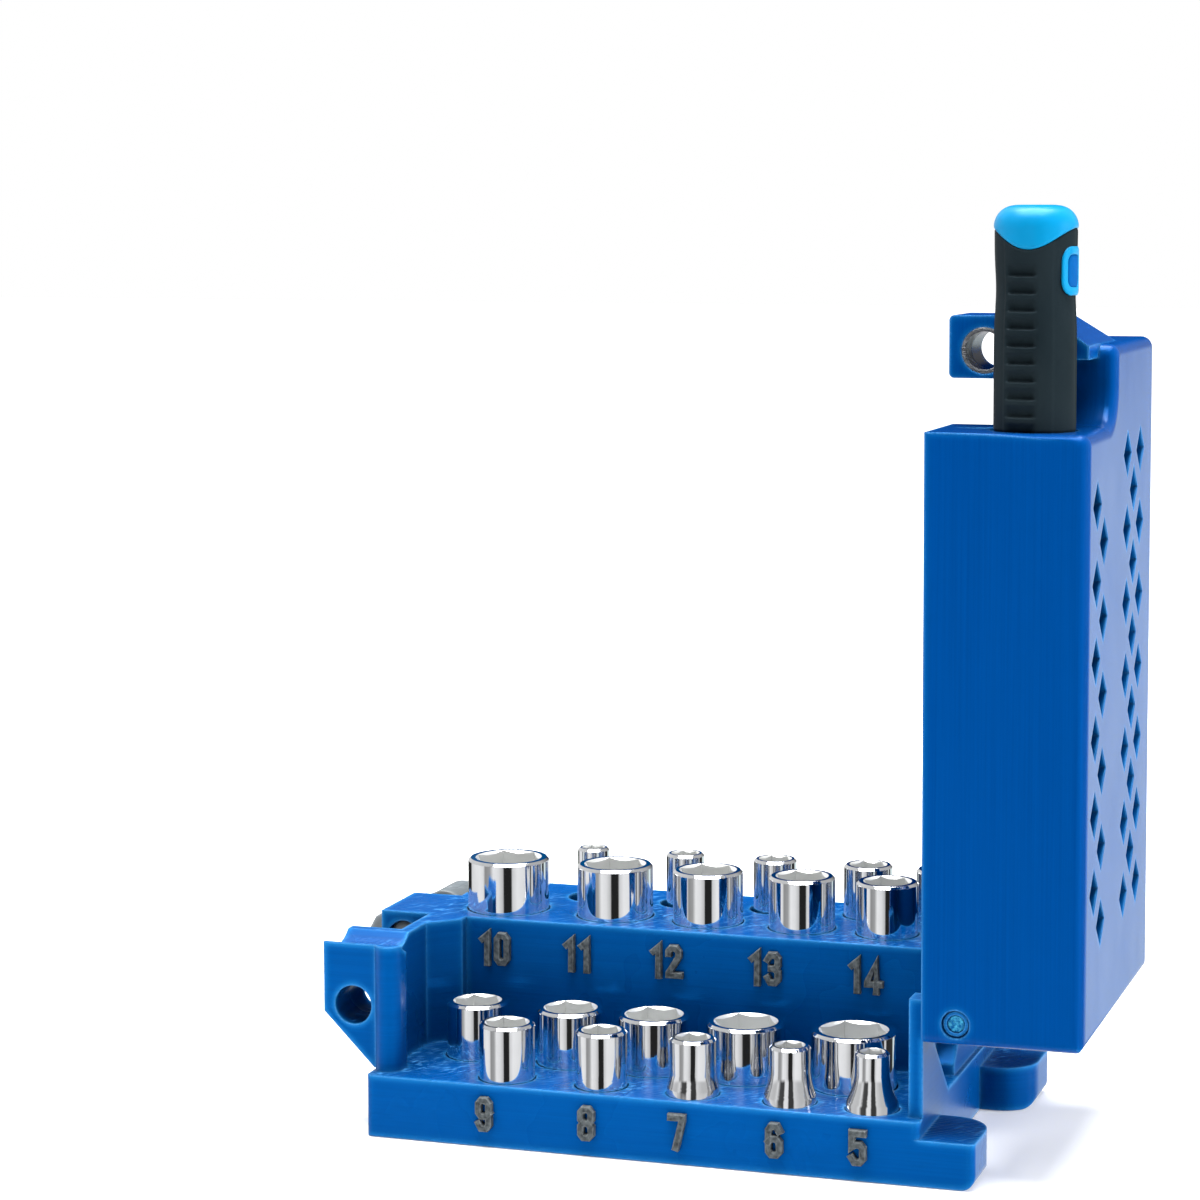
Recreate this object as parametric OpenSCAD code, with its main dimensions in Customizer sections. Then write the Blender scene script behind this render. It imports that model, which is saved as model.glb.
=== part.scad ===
// Hinged organizer for quarter-inch drive sockets: a stepped tray, a case that
// folds over it, a lock bolt with its lever, loose sockets and a spinner handle.
// X runs along the tray (hinge at +X), Y across it, Z up. The case stands open.
// The origin is the centre of the base's underside.

/* [Tray] */
// Length of the tray between its far face and its hinge-end face
tray_l = 132; // [130:0.5:150]
// Overall depth of tray and case, front to back
depth = 84; // [84:0.5:95]
// Height of the base block
base_h = 14.4; // [13.6:0.2:16]
// Height of the raised rear tier
tier_h = 44; // [43:0.5:46]
// Distance of the riser face in front of the middle
riser_off = 3; // [2.5:0.5:4]
// Radius of the upright corners
corner_r = 1.5; // [1:0.25:2.5]

/* [Case] */
// Thickness of the case walls
wall = 3; // [2.4:0.2:3.4]
// Width of the case from its rim to its outer face
case_w = 36.1; // [35:0.1:42]
// Distance of the lower top inside the tray's far face, with the case closed
top_inset = 10; // [9.5:0.5:12]
// Extra height of the raised level
rise_h = 18; // [17:0.5:22]
// Distance of the raised level's front face from the middle
step_off = 8; // [7:0.5:9]
// Radius of the outer corners of the case
case_r = 3; // [2:0.5:3.5]

/* [Hinge] */
// Distance of the hinge axis beyond the tray's end face
hinge_off = 8; // [8:0.5:9.5]
// Height of the hinge axis over the base's underside
hinge_z = 37; // [36.5:0.5:38.5]
// Diameter of a hinge pin
pin_d = 5.6; // [4.6:0.2:6]

/* [Lock] */
// Diameter of the lock bolt
bolt_d = 8.2; // [7:0.2:8.4]
// Distance of the bolt axis beyond the far face
bolt_off = 6.8; // [6.6:0.1:7.2]
// Height of the bolt axis over the base's underside
bolt_z = 37.6; // [37:0.1:38]
// Thickness of the latch lever
lever_t = 13.5; // [10:0.5:15]

/* [Sockets] */
// Length of a standard socket
short_l = 25; // [23:0.5:26]
// Length of a deep socket
deep_l = 50; // [46:0.5:54]
// Outer diameter of the largest socket
socket_d = 19.9; // [19:0.1:20.2]
// Across-flats size of the largest socket
hex_max = 14; // [13.6:0.1:14.2]
// Outer diameter of the drive end
drive_d = 12; // [11.4:0.1:12.4]
// Side of the drive square
drive_sq = 6.35; // [6:0.05:6.6]

/* [Handle] */
// Diameter of the handle's grip
grip_d = 18.6; // [17:0.2:19]
// Length of the grip above the case top
grip_out = 49; // [44:0.5:56]
// Length of the steel shaft below the grip
shaft_l = 57; // [45:1:70]

/* [Fits] */
// Gap between parts that move past each other
fit = 0.4; // [0.3:0.05:0.6]
// Gap between the case walls and what lies between them
side_gap = 0.3; // [0.2:0.05:0.4]
// Gap round a socket in its pocket
socket_gap = 0.3; // [0.2:0.05:0.4]
// Radial gap of a running pin or bolt
run_gap = 0.08; // [0.03:0.01:0.1]
// Gap round the seated handle
seat_gap = 0.4; // [0.2:0.05:0.5]
// Radial gap of a pressed-in piece
press_gap = 0.02; // [0:0.01:0.04]

/* [Hidden] */
SIZES = [5, 6, 7, 8, 9, 10, 11, 12, 13, 14];

blue = [0, 0.29, 0.65];
grey = [0.4, 0.45, 0.47];
steel = [0.82, 0.83, 0.85];
rubber = [0.16, 0.19, 0.2];
cyan = [0, 0.59, 0.86];

// Overrun of cuts past the faces they cut
over = 1;
$fn = 64;

// Main planes of the tray
x_far = -tray_l / 2;
x_end = tray_l / 2;
y_out = depth / 2;
y_in = y_out - wall - side_gap;
riser_y = -riser_off;

// Far wall with its rounded post and its slanted corner
far_wall_t = 3;
post_w = 6.5;
post_d = 8.7;
post_r = 3.2;
fill_w = 9;
fill_l = 6.8;
fill_d = 2.6;

// Recesses under the tier
tier_short = 1;
back_far = 5.5;
back_end = 3;
strip_h = 11.2;
strip_z = tier_h - strip_h;
back_depth = strip_z - base_h;
notch_l = 5;
notch_w = 14;
notch_lift = 2.6;

// Hinge
hinge_x = x_end + hinge_off;
pin_r = pin_d / 2;
knuckle_wall = 1.4;
knuckle_r = pin_r + knuckle_wall;
knuckle_w = 6;
pin_sunk = 0.8;
pin_hollow = 0.5;
pin_rim = 0.8;
mouth_wider = 0.35;
mouth_deep = 1.2;
web_t = 3.2;
web_drop = 3;

// Feet
foot_out = 12.5;
foot_h = 10.4;
foot_w = 21;
foot_r = 9;
foot_edge = 3;

// Lugs of the tray, front and rear, and the case's lug between them
lug_out = 12.6;
lug_low = 27.5;
lug_side = 1.7;
lug_front_w = 17;
lug_gap = 17.5;
lug_rear_w = 21;
lug_front_y = -y_in + lug_side;
lug_mid_y = lug_front_y + lug_front_w;
lug_back_y = lug_mid_y + lug_gap;
lug_end_y = lug_back_y + lug_rear_w;
lug_hole_r = 4.6;
lug_hole_drop = 8.2;
lug_hole_in = 1.6;
bolt_r = bolt_d / 2;
bolt_x = x_far - bolt_off;

// Case standing open
stop_gap = 0.3;
case_x0 = x_end + stop_gap;
case_x1 = case_x0 + case_w;
case_in_x = case_x1 - wall;
floor_drop = 2;
case_z = hinge_z - floor_drop - wall;
low_z = hinge_z + hinge_off + tray_l - top_inset;
high_z = low_z + rise_h;
step_y = -step_off;
step_r = 9;
step_edge = 3;
shelf_x = hinge_x + tier_h - hinge_z + fit;
ledge_gap = 2;
ledge_y = riser_y - fill_w - ledge_gap;
slot_x = hinge_x + knuckle_r + 2 * fit;

// Case lug, with the bolt's place as it is when the case is closed
case_lug_x = hinge_x + bolt_z - hinge_z;
case_lug_z = hinge_z + hinge_off + tray_l + bolt_off;
case_lug_front = 8;
case_lug_gap = 0.6;
case_lug_h = 14;
case_lug_low = hinge_z + hinge_off + tray_l + case_lug_gap;
case_lug_top = case_lug_low + case_lug_h;
case_lug_r = 1.2;
lug_y0 = lug_mid_y + fit;
lug_y1 = lug_back_y - fit;
bush_t = 0.9;
bush_l = 6;
ramp_top_l = 7.6;
ramp_foot_l = 16.6;
ramp_top_y = 6;
ramp_foot_y = 14;

// Window in the case's rear wall, two arcs joined by a straight run
arc_v = 18;
arc_low_u = 53;
arc_low_r = 61;
arc_high_u = 118;
arc_high_r = 35;

// Diamond holes in the outer wall
diamond = 10.4;
diamond_pitch = 17;
diamond_first = 57.5;
// Columns: place as a share of the depth, number of holes, half steps up
diamond_shares = [[-0.375, 6, 1], [-0.274, 6, 0], [0.077, 7, 0], [0.179, 6, 1], [0.28, 7, 0]];

// Handle
grip_r = grip_d / 2;
handle_off = 14;
handle_x = hinge_x + handle_off;
handle_y = -y_out + wall + grip_r + side_gap;
grip_top = low_z + grip_out;
grip_cone = 1.6;
grip_cone_h = 2.4;
grip_low = low_z + seat_gap - grip_cone_h;
seat_low = low_z - grip_cone_h;
saddle_r = grip_r + fit;
cap_h = 10;
cap_dip = 3;
core_r = 5.6;
groove_count = 10;
groove_pitch = 3.8;
groove_h = 1.6;
groove_d = 0.8;
groove_w = 9;
groove_low = 2.2;
shaft_r = 3.5;
collar_r = 4.6;
collar_h = 6;
square_l = 9;
ball_r = 1.4;
ball_up = 4;
ball_out = 0.35;
notch_tip = 18.5;
notch_tip_y = 4;
notch_deep = 1.8;

// Latch lever: corners beyond the far face and above the underside
lever_gap = 5.2;
lever_y = lug_end_y + lever_gap;
lever_y1 = lever_y + lever_t;
hub_r = 6;
// Place of the joint of hub and arm, kept inside the hub
hub_share = 0.9;
lever_foot = 2.2;
lever_toe = 6.4;
lever_low = 11.5;
lever_shelf = 18;
lever_step = 21.5;
lever_tip = 27.6;
lever_tip_low = 27.2;
lever_tip_high = 32;
lever_back = 25.4;
lever_top = 36;
screw_x = x_far - lever_shelf;
screw_z = 16.2;
screw_r = 1.5;
screw_head_r = 2.8;
screw_head_h = 1.4;
screw_l = 8;
bolt_tip_in = 0.4;

// Sockets: outer diameters from size 5 up, as shares of the largest
od_shares = [0.397, 0.472, 0.533, 0.598, 0.653, 0.744, 0.799, 0.849, 0.925, 1];
// Places along the tray from size 5 up, as shares of its length from the far face
short_x_shares = [0.904, 0.759, 0.585, 0.418, 0.243, 0.137, 0.315, 0.472, 0.642, 0.838];
deep_x_shares = [0.243, 0.425, 0.6, 0.778, 0.919, 0.847, 0.688, 0.51, 0.331, 0.1215];
big_size = 10;
// Rows as shares of half the depth, the first two in front of the middle
row1_share = 0.8071;
row2_share = 0.4;
row3_share = 0.231;
row4_share = 0.6429;
short_floor = 2.4;
deep_show = 12.6;
deep_floor = tier_h + deep_show - deep_l;
socket_edge = 0.7;
mouth_edge = 0.6;
hex_share = 0.42;
square_share = 0.36;
bore_share = 0.8;
flare_low_share = 0.54;
flare_top_share = 0.62;

function od_of(n) = od_shares[n - SIZES[0]] * socket_d;
function base_of(n) = max(od_of(n), drive_d);
function flats_of(n) = n / SIZES[len(SIZES) - 1] * hex_max;
function short_at(n) = [x_far + short_x_shares[n - SIZES[0]] * tray_l,
    -y_out * (n < big_size ? row1_share : row2_share), short_floor];
function deep_at(n) = [x_far + deep_x_shares[n - SIZES[0]] * tray_l,
    y_out * (n < big_size ? row4_share : row3_share), deep_floor];

// Helpers

module block(lo, hi) {
    translate(lo) cube(hi - lo);
}

// A flat rectangle with round corners
module round_flat(lo, hi, r) {
    translate([lo[0] + r, lo[1]]) square([hi[0] - lo[0] - 2 * r, hi[1] - lo[1]]);
    translate([lo[0], lo[1] + r]) square([hi[0] - lo[0], hi[1] - lo[1] - 2 * r]);
    for (x = [lo[0] + r, hi[0] - r], y = [lo[1] + r, hi[1] - r])
        translate([x, y]) circle(r = r);
}

module upright(z0, z1) {
    translate([0, 0, z0]) linear_extrude(z1 - z0) children();
}

// A shape drawn in X and Z, carried along Y
module along_y(y0, y1) {
    translate([0, y1, 0]) rotate([90, 0, 0]) linear_extrude(y1 - y0) children();
}

// A shape drawn in Y and Z, carried along X
module along_x(x0, x1) {
    translate([x0, 0, 0]) rotate([90, 0, 90]) linear_extrude(x1 - x0) children();
}

module rod_y(r, x, z, y0, y1) {
    translate([x, y1, z]) rotate([90, 0, 0]) cylinder(r = r, h = y1 - y0);
}

module rod_x(r, y, z, x0, x1) {
    translate([x0, y, z]) rotate([0, 90, 0]) cylinder(r = r, h = x1 - x0);
}

// Tray

module far_wall() {
    wall_x = x_far + far_wall_t;
    fill_x = wall_x + fill_l;
    upright(base_h - over, tier_h) {
        translate([x_far, -y_in + post_r]) square([far_wall_t, riser_y + over + y_in - post_r]);
        round_flat([x_far, -y_in], [x_far + post_w, -y_in + post_d], post_r);
        polygon([[x_far, riser_y - fill_w], [wall_x, riser_y - fill_w], [fill_x, riser_y - fill_d],
            [fill_x, riser_y + over], [x_far, riser_y + over]]);
    }
}

// Front web at the hinge end, sloping down to the base
module end_web() {
    web_top = hinge_z - web_drop;
    web_y = -y_in + knuckle_w;
    along_x(x_end - web_t, x_end) polygon([[-y_in, base_h - over], [-y_in, hinge_z + knuckle_r],
        [web_y, hinge_z + knuckle_r], [web_y, web_top],
        [web_y + web_top - base_h, base_h], [web_y + web_top - base_h, base_h - over]]);
}

module knuckle(y0) {
    rod_y(knuckle_r, hinge_x, hinge_z, y0, y0 + knuckle_w);
    block([x_end - web_t, y0, hinge_z - knuckle_r], [hinge_x, y0 + knuckle_w, hinge_z + knuckle_r]);
}

module foot(side) {
    y_edge = side * y_out;
    y_mid = side * (y_out - foot_w + foot_r);
    y_tip = side * (y_out - foot_w);
    x_tip = x_end + foot_out;
    intersection() {
        upright(0, foot_h) {
            round_flat([x_end - over - foot_edge, min(y_edge, y_mid - side * corner_r)],
                [x_tip, max(y_edge, y_mid - side * corner_r)], corner_r);
            translate([x_end - over, min(y_edge, y_tip) + (side < 0 ? corner_r : 0)])
                square([foot_out + over - foot_r, foot_w - corner_r]);
            translate([x_tip - foot_r, y_mid]) circle(r = foot_r);
        }
        // The lower end edge is round
        along_y(-y_out - over, y_out + over)
            round_flat([x_far, 0], [x_tip, foot_h + foot_edge + over], foot_edge);
    }
}

module lug(y0, y1) {
    along_y(y0, y1) polygon([[x_far + over, tier_h], [x_far - lug_out, tier_h],
        [x_far - lug_out, lug_low], [x_far, lug_low - lug_out], [x_far + over, lug_low - lug_out]]);
}

module pockets() {
    for (n = SIZES) {
        translate(short_at(n)) cylinder(r = base_of(n) / 2 + socket_gap, h = base_h - short_floor + over);
        translate(deep_at(n)) cylinder(r = base_of(n) / 2 + socket_gap, h = tier_h - deep_floor + over);
    }
}

module tray() {
    notch_z = base_h + notch_lift;
    color(blue) difference() {
        union() {
            upright(0, base_h) round_flat([x_far, -y_out], [x_end, y_out], corner_r);
            block([x_far, riser_y, base_h - over], [x_end - tier_short, y_in, tier_h]);
            far_wall();
            end_web();
            knuckle(-y_in);
            knuckle(y_in - knuckle_w);
            foot(-1);
            foot(1);
            lug(lug_front_y, lug_mid_y);
            lug(lug_back_y, lug_end_y);
        }
        // Back recess, where the rear deep sockets show
        along_x(x_far + back_far, x_end - back_end) polygon([[y_in + over, strip_z], [y_in, strip_z],
            [y_in - back_depth, base_h], [y_in + over, base_h]]);
        // Slanted notch in the tier's hinge end
        along_x(x_end - notch_l - tier_short, x_end + over) polygon([[riser_y - over, notch_z],
            [riser_y, notch_z], [riser_y + notch_w, notch_z + notch_w], [riser_y - over, notch_z + notch_w]]);
        pockets();
        // Seat of the hinge pins
        rod_y(pin_r + press_gap, hinge_x, hinge_z, -y_out, y_out);
        // Bolt hole in the rear lug, and the wider hole in the front lug
        rod_y(bolt_r + run_gap, bolt_x, bolt_z, lug_back_y - over, lug_end_y + over);
        rod_y(lug_hole_r, bolt_x + lug_hole_in, bolt_z - lug_hole_drop, lug_front_y - over, lug_mid_y + over);
        // Saddle for the handle when the case is closed
        rod_x(saddle_r, handle_y, hinge_z + handle_x - hinge_x, x_far - lug_out - over, x_far + post_w + over);
    }
}

// Hinge pin with a shallow hollow in its outer end
module hinge_pin(side) {
    y_tip = y_out - pin_sunk;
    color(blue) translate([hinge_x, 0, hinge_z]) rotate([side < 0 ? 90 : -90, 0, 0])
        translate([0, 0, y_in - knuckle_w]) difference() {
            cylinder(r = pin_r, h = y_tip - y_in + knuckle_w);
            translate([0, 0, y_tip - y_in + knuckle_w - pin_hollow])
                cylinder(r = pin_r - pin_rim, h = pin_hollow + over);
        }
}

// Case

// Outline across the depth with its stepped top, set in by d
module case_outline(d) {
    r = d > 0 ? 0 : case_r;
    step_top = low_z + step_r;
    difference() {
        union() {
            translate([-y_out + d, case_z + d]) square([depth - 2 * d, low_z - case_z - 2 * d]);
            translate([step_y + d, low_z - d - over]) square([y_out - step_y - 2 * d, rise_h + over]);
            translate([step_y - step_r, low_z - d - over])
                square([step_r + d + over / 2, step_r + d + over]);
        }
        translate([step_y - step_r, step_top]) circle(r = step_r + d);
        translate([step_y - step_r - over, step_top]) square([step_r + over + d, step_r]);
        if (d == 0) {
            corner_cut([-y_out, case_z], [1, 1], r);
            corner_cut([y_out, case_z], [-1, 1], r);
            corner_cut([y_out, high_z], [-1, -1], r);
            corner_cut([step_y, high_z], [1, -1], step_edge);
        }
    }
}

// What rounding takes off a corner whose sides run the way of dir
module corner_cut(p, dir, r) {
    translate(p) scale_flip(dir) difference() {
        translate([-over, -over]) square(r + over);
        translate([r, r]) circle(r = r);
    }
}

module scale_flip(dir) {
    mirror([dir[0] < 0 ? 1 : 0, 0]) mirror([0, dir[1] < 0 ? 1 : 0]) children();
}

module case_shell() {
    difference() {
        intersection() {
            along_x(case_x0, case_x1) case_outline(0);
            upright(case_z - over, high_z + over)
                round_flat([case_x0 - 2 * case_r, -y_out], [case_x1, y_out], case_r);
            along_y(-y_out - over, y_out + over)
                round_flat([case_x0 - 2 * case_r, case_z], [case_x1, high_z + 2 * case_r], case_r);
        }
        along_x(case_x0 - over, case_in_x) case_outline(wall);
        // Above the lower top the case stays clear of the tier and of the lugs
        block([case_x0 - over, -y_out - over, low_z], [shelf_x, y_out + over, high_z + over]);
        block([case_x0 - over, ledge_y, low_z - wall - over], [shelf_x, y_out - wall, low_z + over]);
    }
}

module arc_window() {
    top_x = hinge_x + arc_v;
    along_y(y_out - wall - over, y_out + over) {
        translate([case_x0 - over, hinge_z + arc_low_u])
            square([top_x - case_x0 + over, arc_high_u - arc_low_u]);
        intersection() {
            translate([top_x - arc_low_r, hinge_z + arc_low_u]) circle(r = arc_low_r);
            translate([case_x0 - over, hinge_z - floor_drop - wall]) square([2 * arc_v, arc_low_u + hinge_z]);
        }
        intersection() {
            translate([top_x - arc_high_r, hinge_z + arc_high_u]) circle(r = arc_high_r);
            translate([case_x0 - over, hinge_z + arc_high_u - over]) square([2 * arc_v, 2 * arc_high_r]);
        }
    }
}

module diamonds() {
    side = diamond / sqrt(2);
    for (c = diamond_shares, i = [0 : c[1] - 1])
        translate([case_in_x - over, c[0] * depth, diamond_first + (i + c[2] / 2) * diamond_pitch])
            rotate([45, 0, 0]) translate([0, -side / 2, -side / 2]) cube([wall + 2 * over, side, side]);
}

// Hipped block on the raised top, with the lug that reaches over the far wall
module lug_and_ramp() {
    front_x = case_lug_x - case_lug_front;
    ramp_low = high_z - wall;
    along_y(lug_y0, lug_y1)
        round_flat([front_x, case_lug_low], [shelf_x + 2 * case_lug_r, case_lug_top], case_lug_r);
    block([shelf_x, lug_y0, case_lug_low], [shelf_x + ramp_top_l, step_y + wall, high_z]);
    intersection() {
        along_y(lug_y0, ramp_foot_y) polygon([[shelf_x, ramp_low], [shelf_x, case_lug_top],
            [shelf_x + ramp_top_l, case_lug_top], [shelf_x + ramp_foot_l, high_z],
            [shelf_x + ramp_foot_l, ramp_low]]);
        along_x(shelf_x, case_x1) polygon([[lug_y0, ramp_low], [lug_y0, case_lug_top],
            [ramp_top_y, case_lug_top], [ramp_foot_y, high_z], [ramp_foot_y, ramp_low]]);
    }
}

// Hole for the handle: a cone that the grip's end sits in, with a tapered notch
module handle_hole() {
    translate([handle_x, handle_y, 0]) {
        translate([0, 0, seat_low]) cylinder(r1 = grip_r - grip_cone, r2 = grip_r, h = grip_cone_h);
        translate([0, 0, low_z - over / 4]) cylinder(r = grip_r + seat_gap, h = over);
        translate([0, 0, low_z - wall - over]) cylinder(r = grip_r - grip_cone, h = wall + over);
    }
    upright(low_z - notch_deep, low_z + over) polygon([[handle_x, handle_y - grip_r * sin(30)],
        [handle_x - notch_tip, handle_y + notch_tip_y], [handle_x, handle_y + grip_r * sin(60)]]);
}

module case() {
    color(blue) difference() {
        union() {
            difference() {
                case_shell();
                arc_window();
                diamonds();
            }
            lug_and_ramp();
        }
        handle_hole();
        // Slots in the floor for the tray's knuckles
        for (y = [-y_in - side_gap, y_in - knuckle_w - fit])
            block([case_x0 - over, y, case_z - over],
                [slot_x, y + knuckle_w + fit + side_gap, hinge_z - floor_drop + over]);
        // Running holes for the hinge pins, wider at the mouth
        rod_y(pin_r + run_gap, hinge_x, hinge_z, -y_out - over, y_out + over);
        rod_y(pin_r + mouth_wider, hinge_x, hinge_z, -y_out - over, -y_out + mouth_deep);
        rod_y(pin_r + mouth_wider, hinge_x, hinge_z, y_out - mouth_deep, y_out + over);
        rod_y(bolt_r + 2 * run_gap, case_lug_x, case_lug_z, lug_y0 - over, lug_y1 + over);
        rod_y(bolt_r + 2 * run_gap + bush_t + press_gap, case_lug_x, case_lug_z,
            lug_y0 - over, lug_y0 + bush_l);
    }
}

module striker_bush() {
    color(steel) difference() {
        rod_y(bolt_r + 2 * run_gap + bush_t, case_lug_x, case_lug_z, lug_y0, lug_y0 + bush_l);
        rod_y(bolt_r + 2 * run_gap, case_lug_x, case_lug_z, lug_y0 - over, lug_y0 + bush_l + over);
    }
}

// Lock

// Bolt with a domed tip, waiting just inside the rear lug
module lock_bolt() {
    tip = bolt_r / 2;
    color(grey) translate([bolt_x, lug_back_y + bolt_tip_in, bolt_z]) rotate([-90, 0, 0])
        rotate_extrude() polygon(concat([[0, 0]],
            [for (a = [15 : 15 : 90]) [bolt_r * sin(a), tip * (1 - cos(a))]],
            [[bolt_r, lever_y + lever_t / 2 - lug_back_y], [0, lever_y + lever_t / 2 - lug_back_y]]));
}

module latch_lever() {
    color(grey) difference() {
        union() {
            rod_y(hub_r, bolt_x, bolt_z, lever_y, lever_y1);
            along_y(lever_y, lever_y1)
                polygon([[x_far - lever_foot, lever_top], [x_far - lever_toe, lever_low],
                    [x_far - lever_shelf, lever_low], [x_far - lever_shelf, lever_step],
                    [x_far - lever_tip, lever_tip_low], [x_far - lever_tip, lever_tip_high],
                    [x_far - lever_back, lever_top], [bolt_x, bolt_z + hub_r * hub_share]]);
        }
        rod_y(bolt_r + press_gap, bolt_x, bolt_z, lever_y - over, lever_y + lever_t / 2 + bolt_tip_in);
        rod_x(screw_r + press_gap, lever_y + lever_t / 2, screw_z, screw_x - over, screw_x + screw_l);
        rod_x(screw_head_r + press_gap, lever_y + lever_t / 2, screw_z, screw_x - over,
            screw_x + screw_head_h);
    }
}

module latch_screw() {
    y_mid = lever_y + lever_t / 2;
    recess = screw_head_h / 2;
    color(steel) difference() {
        union() {
            rod_x(screw_head_r, y_mid, screw_z, screw_x, screw_x + screw_head_h);
            rod_x(screw_r, y_mid, screw_z, screw_x + screw_head_h - over / 4, screw_x + screw_l);
        }
        translate([screw_x - over, y_mid, screw_z]) rotate([0, 90, 0])
            cylinder(r = screw_r, h = over + recess, $fn = 6);
    }
}

// Handle

module handle_grip() {
    color(rubber) translate([handle_x, handle_y, 0]) difference() {
        rotate_extrude() polygon([[0, grip_low], [grip_r - grip_cone, grip_low], [grip_r, grip_low + grip_cone_h],
            [grip_r, grip_top - cap_h], [0, grip_top - cap_h]]);
        translate([0, 0, grip_low - over]) cylinder(r = core_r + press_gap, h = grip_top);
        for (i = [0 : groove_count - 1], side = [-1, 1])
            translate([-groove_w / 2, side > 0 ? grip_r - groove_d : -grip_r - over,
                low_z + groove_low + i * groove_pitch]) cube([groove_w, groove_d + over, groove_h]);
    }
}

module handle_core() {
    cap_z = grip_top - cap_h;
    dome = cap_h - cap_dip;
    color(cyan) translate([handle_x, handle_y, 0]) difference() {
        rotate_extrude() polygon(concat([[0, grip_low + over], [core_r, grip_low + over], [core_r, cap_z],
            [grip_r, cap_z]], [for (a = [0 : 15 : 75]) [grip_r * (1 - (1 - cos(a)) / 2),
            cap_z + cap_dip + dome * sin(a)]], [[0, grip_top]]));
        translate([0, 0, grip_low]) cylinder(r = shaft_r + press_gap, h = collar_h + over);
    }
}

module handle_shaft() {
    tip_z = grip_low - shaft_l;
    color(steel) translate([handle_x, handle_y, 0]) difference() {
        union() {
            translate([0, 0, tip_z + square_l]) cylinder(r = shaft_r, h = shaft_l - square_l + collar_h);
            translate([0, 0, grip_low + over - collar_h]) cylinder(r = collar_r, h = collar_h - seat_gap);
            translate([-drive_sq / 2, -drive_sq / 2, tip_z]) cube([drive_sq, drive_sq, square_l + over]);
        }
        translate([0, -drive_sq / 2 + ball_r - ball_out, tip_z + ball_up]) sphere(r = ball_r + press_gap);
    }
}

module detent_ball() {
    color(steel) translate([handle_x, handle_y - drive_sq / 2 + ball_r - ball_out, grip_low - shaft_l + ball_up])
        sphere(r = ball_r);
}

// Sockets: a drive square below, a hex mouth above, and a waist on the small sizes
module socket(n, long) {
    r = od_of(n) / 2;
    foot = base_of(n) / 2;
    hex_r = flats_of(n) / 2 / cos(30);
    hex_l = hex_share * long;
    color(steel) difference() {
        rotate_extrude() polygon([[0, 0], [foot - socket_edge, 0], [foot, socket_edge],
            [foot, long * flare_low_share], [r, long * flare_top_share], [r, long - mouth_edge],
            [r - mouth_edge, long], [0, long]]);
        translate([0, 0, long - hex_l]) cylinder(r = hex_r, h = hex_l + over, $fn = 6);
        translate([0, 0, long - mouth_edge]) cylinder(r1 = hex_r * cos(30), r2 = hex_r, h = mouth_edge);
        translate([-drive_sq / 2, -drive_sq / 2, -over]) cube([drive_sq, drive_sq, square_share * long + over]);
        translate([0, 0, -over]) cylinder(r = min(drive_sq, flats_of(n)) / 2 * bore_share, h = long);
    }
}

tray();
hinge_pin(-1);  // hinge_pin_front
hinge_pin(1);  // hinge_pin_rear
case();
striker_bush();
lock_bolt();
latch_lever();
latch_screw();
handle_grip();
handle_core();
handle_shaft();
detent_ball();
for (n = SIZES)
    translate(short_at(n)) socket(n, short_l);
for (n = SIZES)
    translate(deep_at(n)) socket(n, deep_l);
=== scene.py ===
"""Looks for a hinged, printed socket organizer. Everything is in metres, in the CAD frame."""

import math

import bmesh
import bpy
from mathutils import Matrix, Vector, noise


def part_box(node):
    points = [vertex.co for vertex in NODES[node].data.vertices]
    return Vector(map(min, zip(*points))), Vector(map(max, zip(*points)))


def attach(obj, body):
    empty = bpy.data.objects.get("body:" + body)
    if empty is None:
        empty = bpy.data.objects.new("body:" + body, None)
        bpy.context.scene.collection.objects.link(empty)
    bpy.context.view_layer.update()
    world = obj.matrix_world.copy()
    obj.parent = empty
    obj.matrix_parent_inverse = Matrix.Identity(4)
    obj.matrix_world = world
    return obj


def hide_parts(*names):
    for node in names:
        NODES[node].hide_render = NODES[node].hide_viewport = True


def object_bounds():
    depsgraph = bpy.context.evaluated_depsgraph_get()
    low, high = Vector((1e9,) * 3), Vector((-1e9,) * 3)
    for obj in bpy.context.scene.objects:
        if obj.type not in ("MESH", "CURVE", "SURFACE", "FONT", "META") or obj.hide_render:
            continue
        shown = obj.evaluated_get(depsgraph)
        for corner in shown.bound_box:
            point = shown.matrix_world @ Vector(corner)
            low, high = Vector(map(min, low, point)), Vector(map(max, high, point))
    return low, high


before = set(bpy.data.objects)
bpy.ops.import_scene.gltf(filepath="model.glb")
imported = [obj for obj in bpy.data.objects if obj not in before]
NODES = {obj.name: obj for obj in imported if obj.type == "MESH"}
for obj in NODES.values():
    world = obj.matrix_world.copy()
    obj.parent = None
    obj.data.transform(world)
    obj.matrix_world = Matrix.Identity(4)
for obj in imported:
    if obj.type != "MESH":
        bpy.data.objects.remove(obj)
CAD_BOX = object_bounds()
MM = 0.001
TAU = 2 * math.pi

# Boxes of the CAD nodes that the pieces are fitted to
TRAY_LO, TRAY_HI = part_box("tray")
CASE_LO, CASE_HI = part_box("case")
GRIP_LO, GRIP_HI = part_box("handle_grip")
CORE_LO, CORE_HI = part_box("handle_core")

# Heights of the case's two tops, and its upright corners' radius
LOW_TOP = 0.167
HIGH_TOP = 0.185
CASE_CORNER = 0.003

# Camera: focal length in pixels of a 1200 frame, turn and tilt in degrees,
# place of the frame's origin before the lens in mm, and the principal point
FRAME_PX = 1200
FOCAL = 3149.24
TURN = 17.031
TILT = 4.932
ORIGIN_AT = (-7.053, -151.042, 754.396)
CENTRE_PX = (720.34, 479.46)
SENSOR_MM = 36
CLIP_START = 0.01


def clamp(value):
    return max(0.0, min(1.0, value))


def shaded(colour, gain, lift=0.0):
    """A lighter or darker colour."""
    return tuple(min(1.0, gain * c + lift) for c in colour)


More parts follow.
